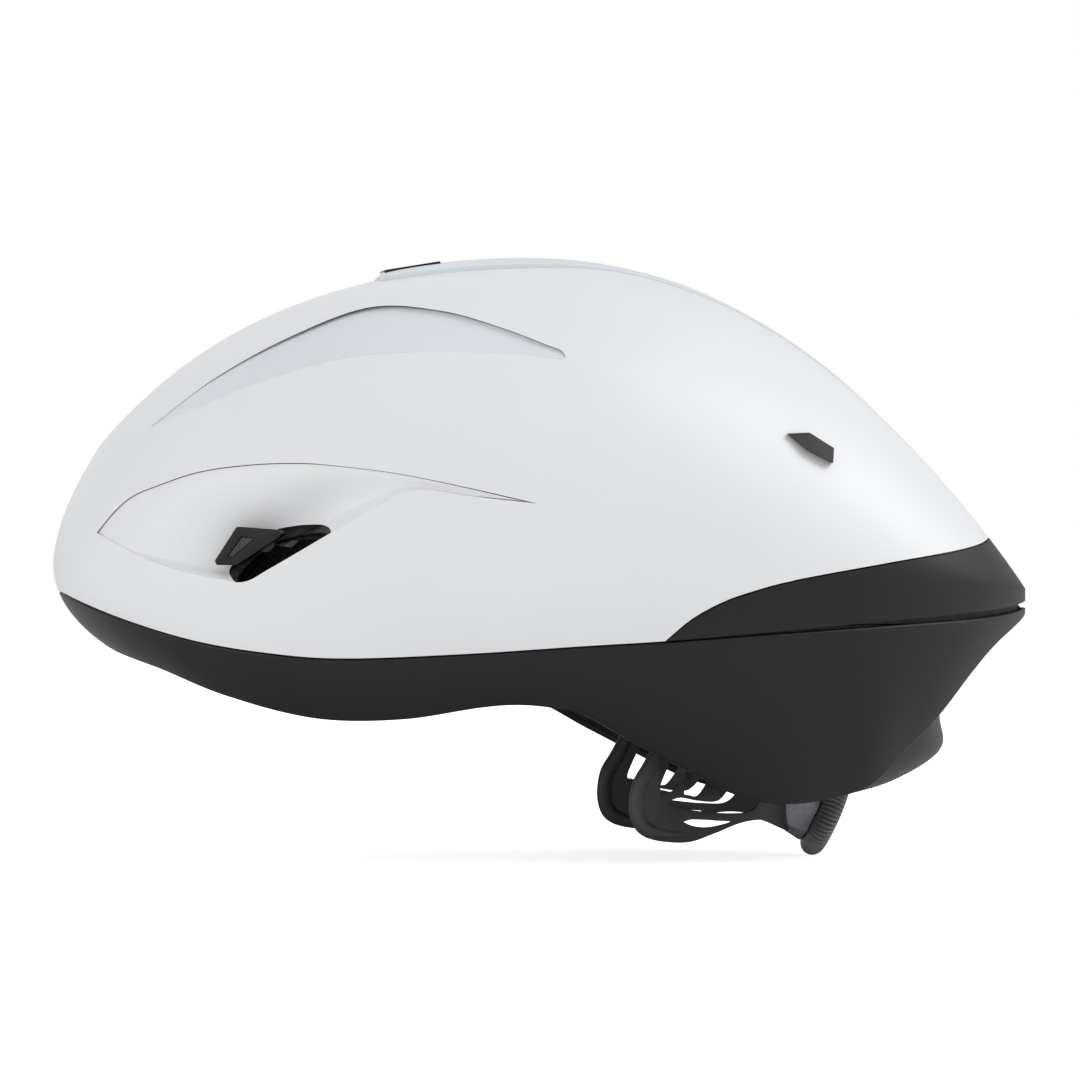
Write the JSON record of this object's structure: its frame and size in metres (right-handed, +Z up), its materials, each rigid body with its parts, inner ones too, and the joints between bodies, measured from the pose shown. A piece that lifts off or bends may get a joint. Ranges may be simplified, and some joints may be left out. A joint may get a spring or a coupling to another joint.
{
  "type": "aero road bike helmet",
  "caption": "Closed-shell aero road cycling helmet with side scoops, eyewear docks, a dark lower shell and a dial-adjusted harness on a nape cradle.",
  "frame": {"origin": "middle of the bounding box in plan, on the plane through the lowest point of the dial, helmet level as worn", "axes": "-Y to the front of the helmet, +X to the wearer's left, +Z up to the crown"},
  "size_m": [0.206, 0.2991, 0.1837],
  "materials": {
    "white_shell": "satin white paint on moulded polycarbonate",
    "cool_white_panel": "satin cool white on moulded polycarbonate",
    "dark_shell": "satin black moulded polycarbonate",
    "foam": "black expanded foam beads",
    "pad_fabric": "brushed knit over open foam",
    "soft_rubber": "matt, ribbed or textured",
    "steel": "turned",
    "webbing": "woven polyester",
    "harness_plastic": "fine moulded texture"
  },
  "bodies": {
    "shell": {"upper_shell": "white_shell", "lower_shell": "dark_shell", "tail_panel": "dark_shell", "base_cover": "dark_shell", "upper_liner": "foam", "lower_liner": "foam", "crown_cover": "cool_white_panel", "crown_intake": "harness_plastic", "scoop_left": "white_shell", "scoop_right": "white_shell", "channel_left": "cool_white_panel", "channel_right": "cool_white_panel", "dock_left": "harness_plastic", "dock_right": "harness_plastic", "dock_pad_left": "soft_rubber", "dock_pad_right": "soft_rubber", "dock_magnet_left": "steel", "dock_magnet_right": "steel", "rear_dock_left": "harness_plastic", "rear_dock_right": "harness_plastic", "brow_pad": "pad_fabric", "crown_pad": "pad_fabric", "side_pad_left": "pad_fabric", "side_pad_right": "pad_fabric", "nape_pad_left": "pad_fabric", "nape_pad_right": "pad_fabric", "temple_anchor_left": "harness_plastic", "temple_anchor_right": "harness_plastic", "strap_left": "webbing", "strap_right": "webbing", "strap_divider_left": "harness_plastic", "strap_divider_right": "harness_plastic", "buckle_male": "harness_plastic", "buckle_female": "harness_plastic", "strap_anchors": "harness_plastic"},
    "harness": {"headband_left": "harness_plastic", "headband_right": "harness_plastic"},
    "cradle": {"cradle": "harness_plastic", "dial_housing": "harness_plastic", "dial_axle": "steel", "lace": "webbing"},
    "dial": {"dial_knob": "harness_plastic", "dial_grip": "soft_rubber", "dial_cap": "harness_plastic", "spool": "harness_plastic"}
  },
  "joints": [
    {"name": "harness_tilt", "type": "hinge", "parent": "shell", "child": "harness", "pos_m": [0, -0.055, 0.064], "axis": [1, 0, 0], "range_deg": [-3, 3]},
    {"name": "cradle_slide", "type": "slide", "parent": "harness", "child": "cradle", "axis": [0, -1, 0], "range_m": [0, 0.012]},
    {"name": "dial_turn", "type": "hinge", "parent": "cradle", "child": "dial", "pos_m": [0, 0.0882, 0.01264], "axis": [0, 0.9135, -0.4067], "range_deg": [0, 229]}
  ],
  "couplings": [
    {"joint": "dial_turn", "follows": "cradle_slide", "rad_per_m": 333}
  ]
}
